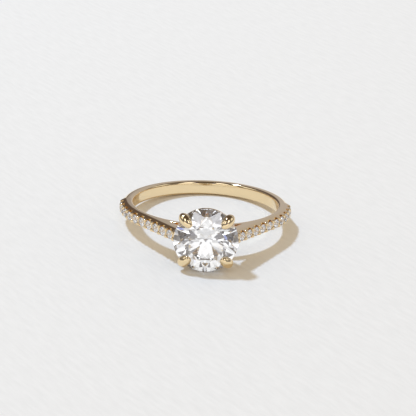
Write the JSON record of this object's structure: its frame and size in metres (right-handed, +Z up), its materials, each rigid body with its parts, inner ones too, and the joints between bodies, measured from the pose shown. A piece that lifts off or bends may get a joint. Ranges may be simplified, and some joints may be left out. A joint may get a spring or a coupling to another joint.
{
  "type": "diamond engagement ring",
  "caption": "Gold solitaire ring with a round brilliant in a claw head and small brilliants bead-set along raised shoulders, lying on its side.",
  "frame": {"origin": "middle of the ring's footprint on the surface it lies on", "axes": "+Z up from the surface, +Y from the centre stone towards the plain back of the band, +X towards the right-hand shoulder seen from the stone's side"},
  "size_m": [0.0198, 0.023, 0.007],
  "materials": {
    "gold": "polished",
    "diamond": "polished facets"
  },
  "bodies": {
    "root": {"gold_setting": "gold", "centre_stone": "diamond", "side_stone_right_01": "diamond", "side_stone_right_02": "diamond", "side_stone_right_03": "diamond", "side_stone_right_04": "diamond", "side_stone_right_05": "diamond", "side_stone_right_06": "diamond", "side_stone_right_07": "diamond", "side_stone_right_08": "diamond", "side_stone_right_09": "diamond", "side_stone_right_10": "diamond", "side_stone_left_01": "diamond", "side_stone_left_02": "diamond", "side_stone_left_03": "diamond", "side_stone_left_04": "diamond", "side_stone_left_05": "diamond", "side_stone_left_06": "diamond", "side_stone_left_07": "diamond", "side_stone_left_08": "diamond", "side_stone_left_09": "diamond", "side_stone_left_10": "diamond"}
  },
  "joints": []
}
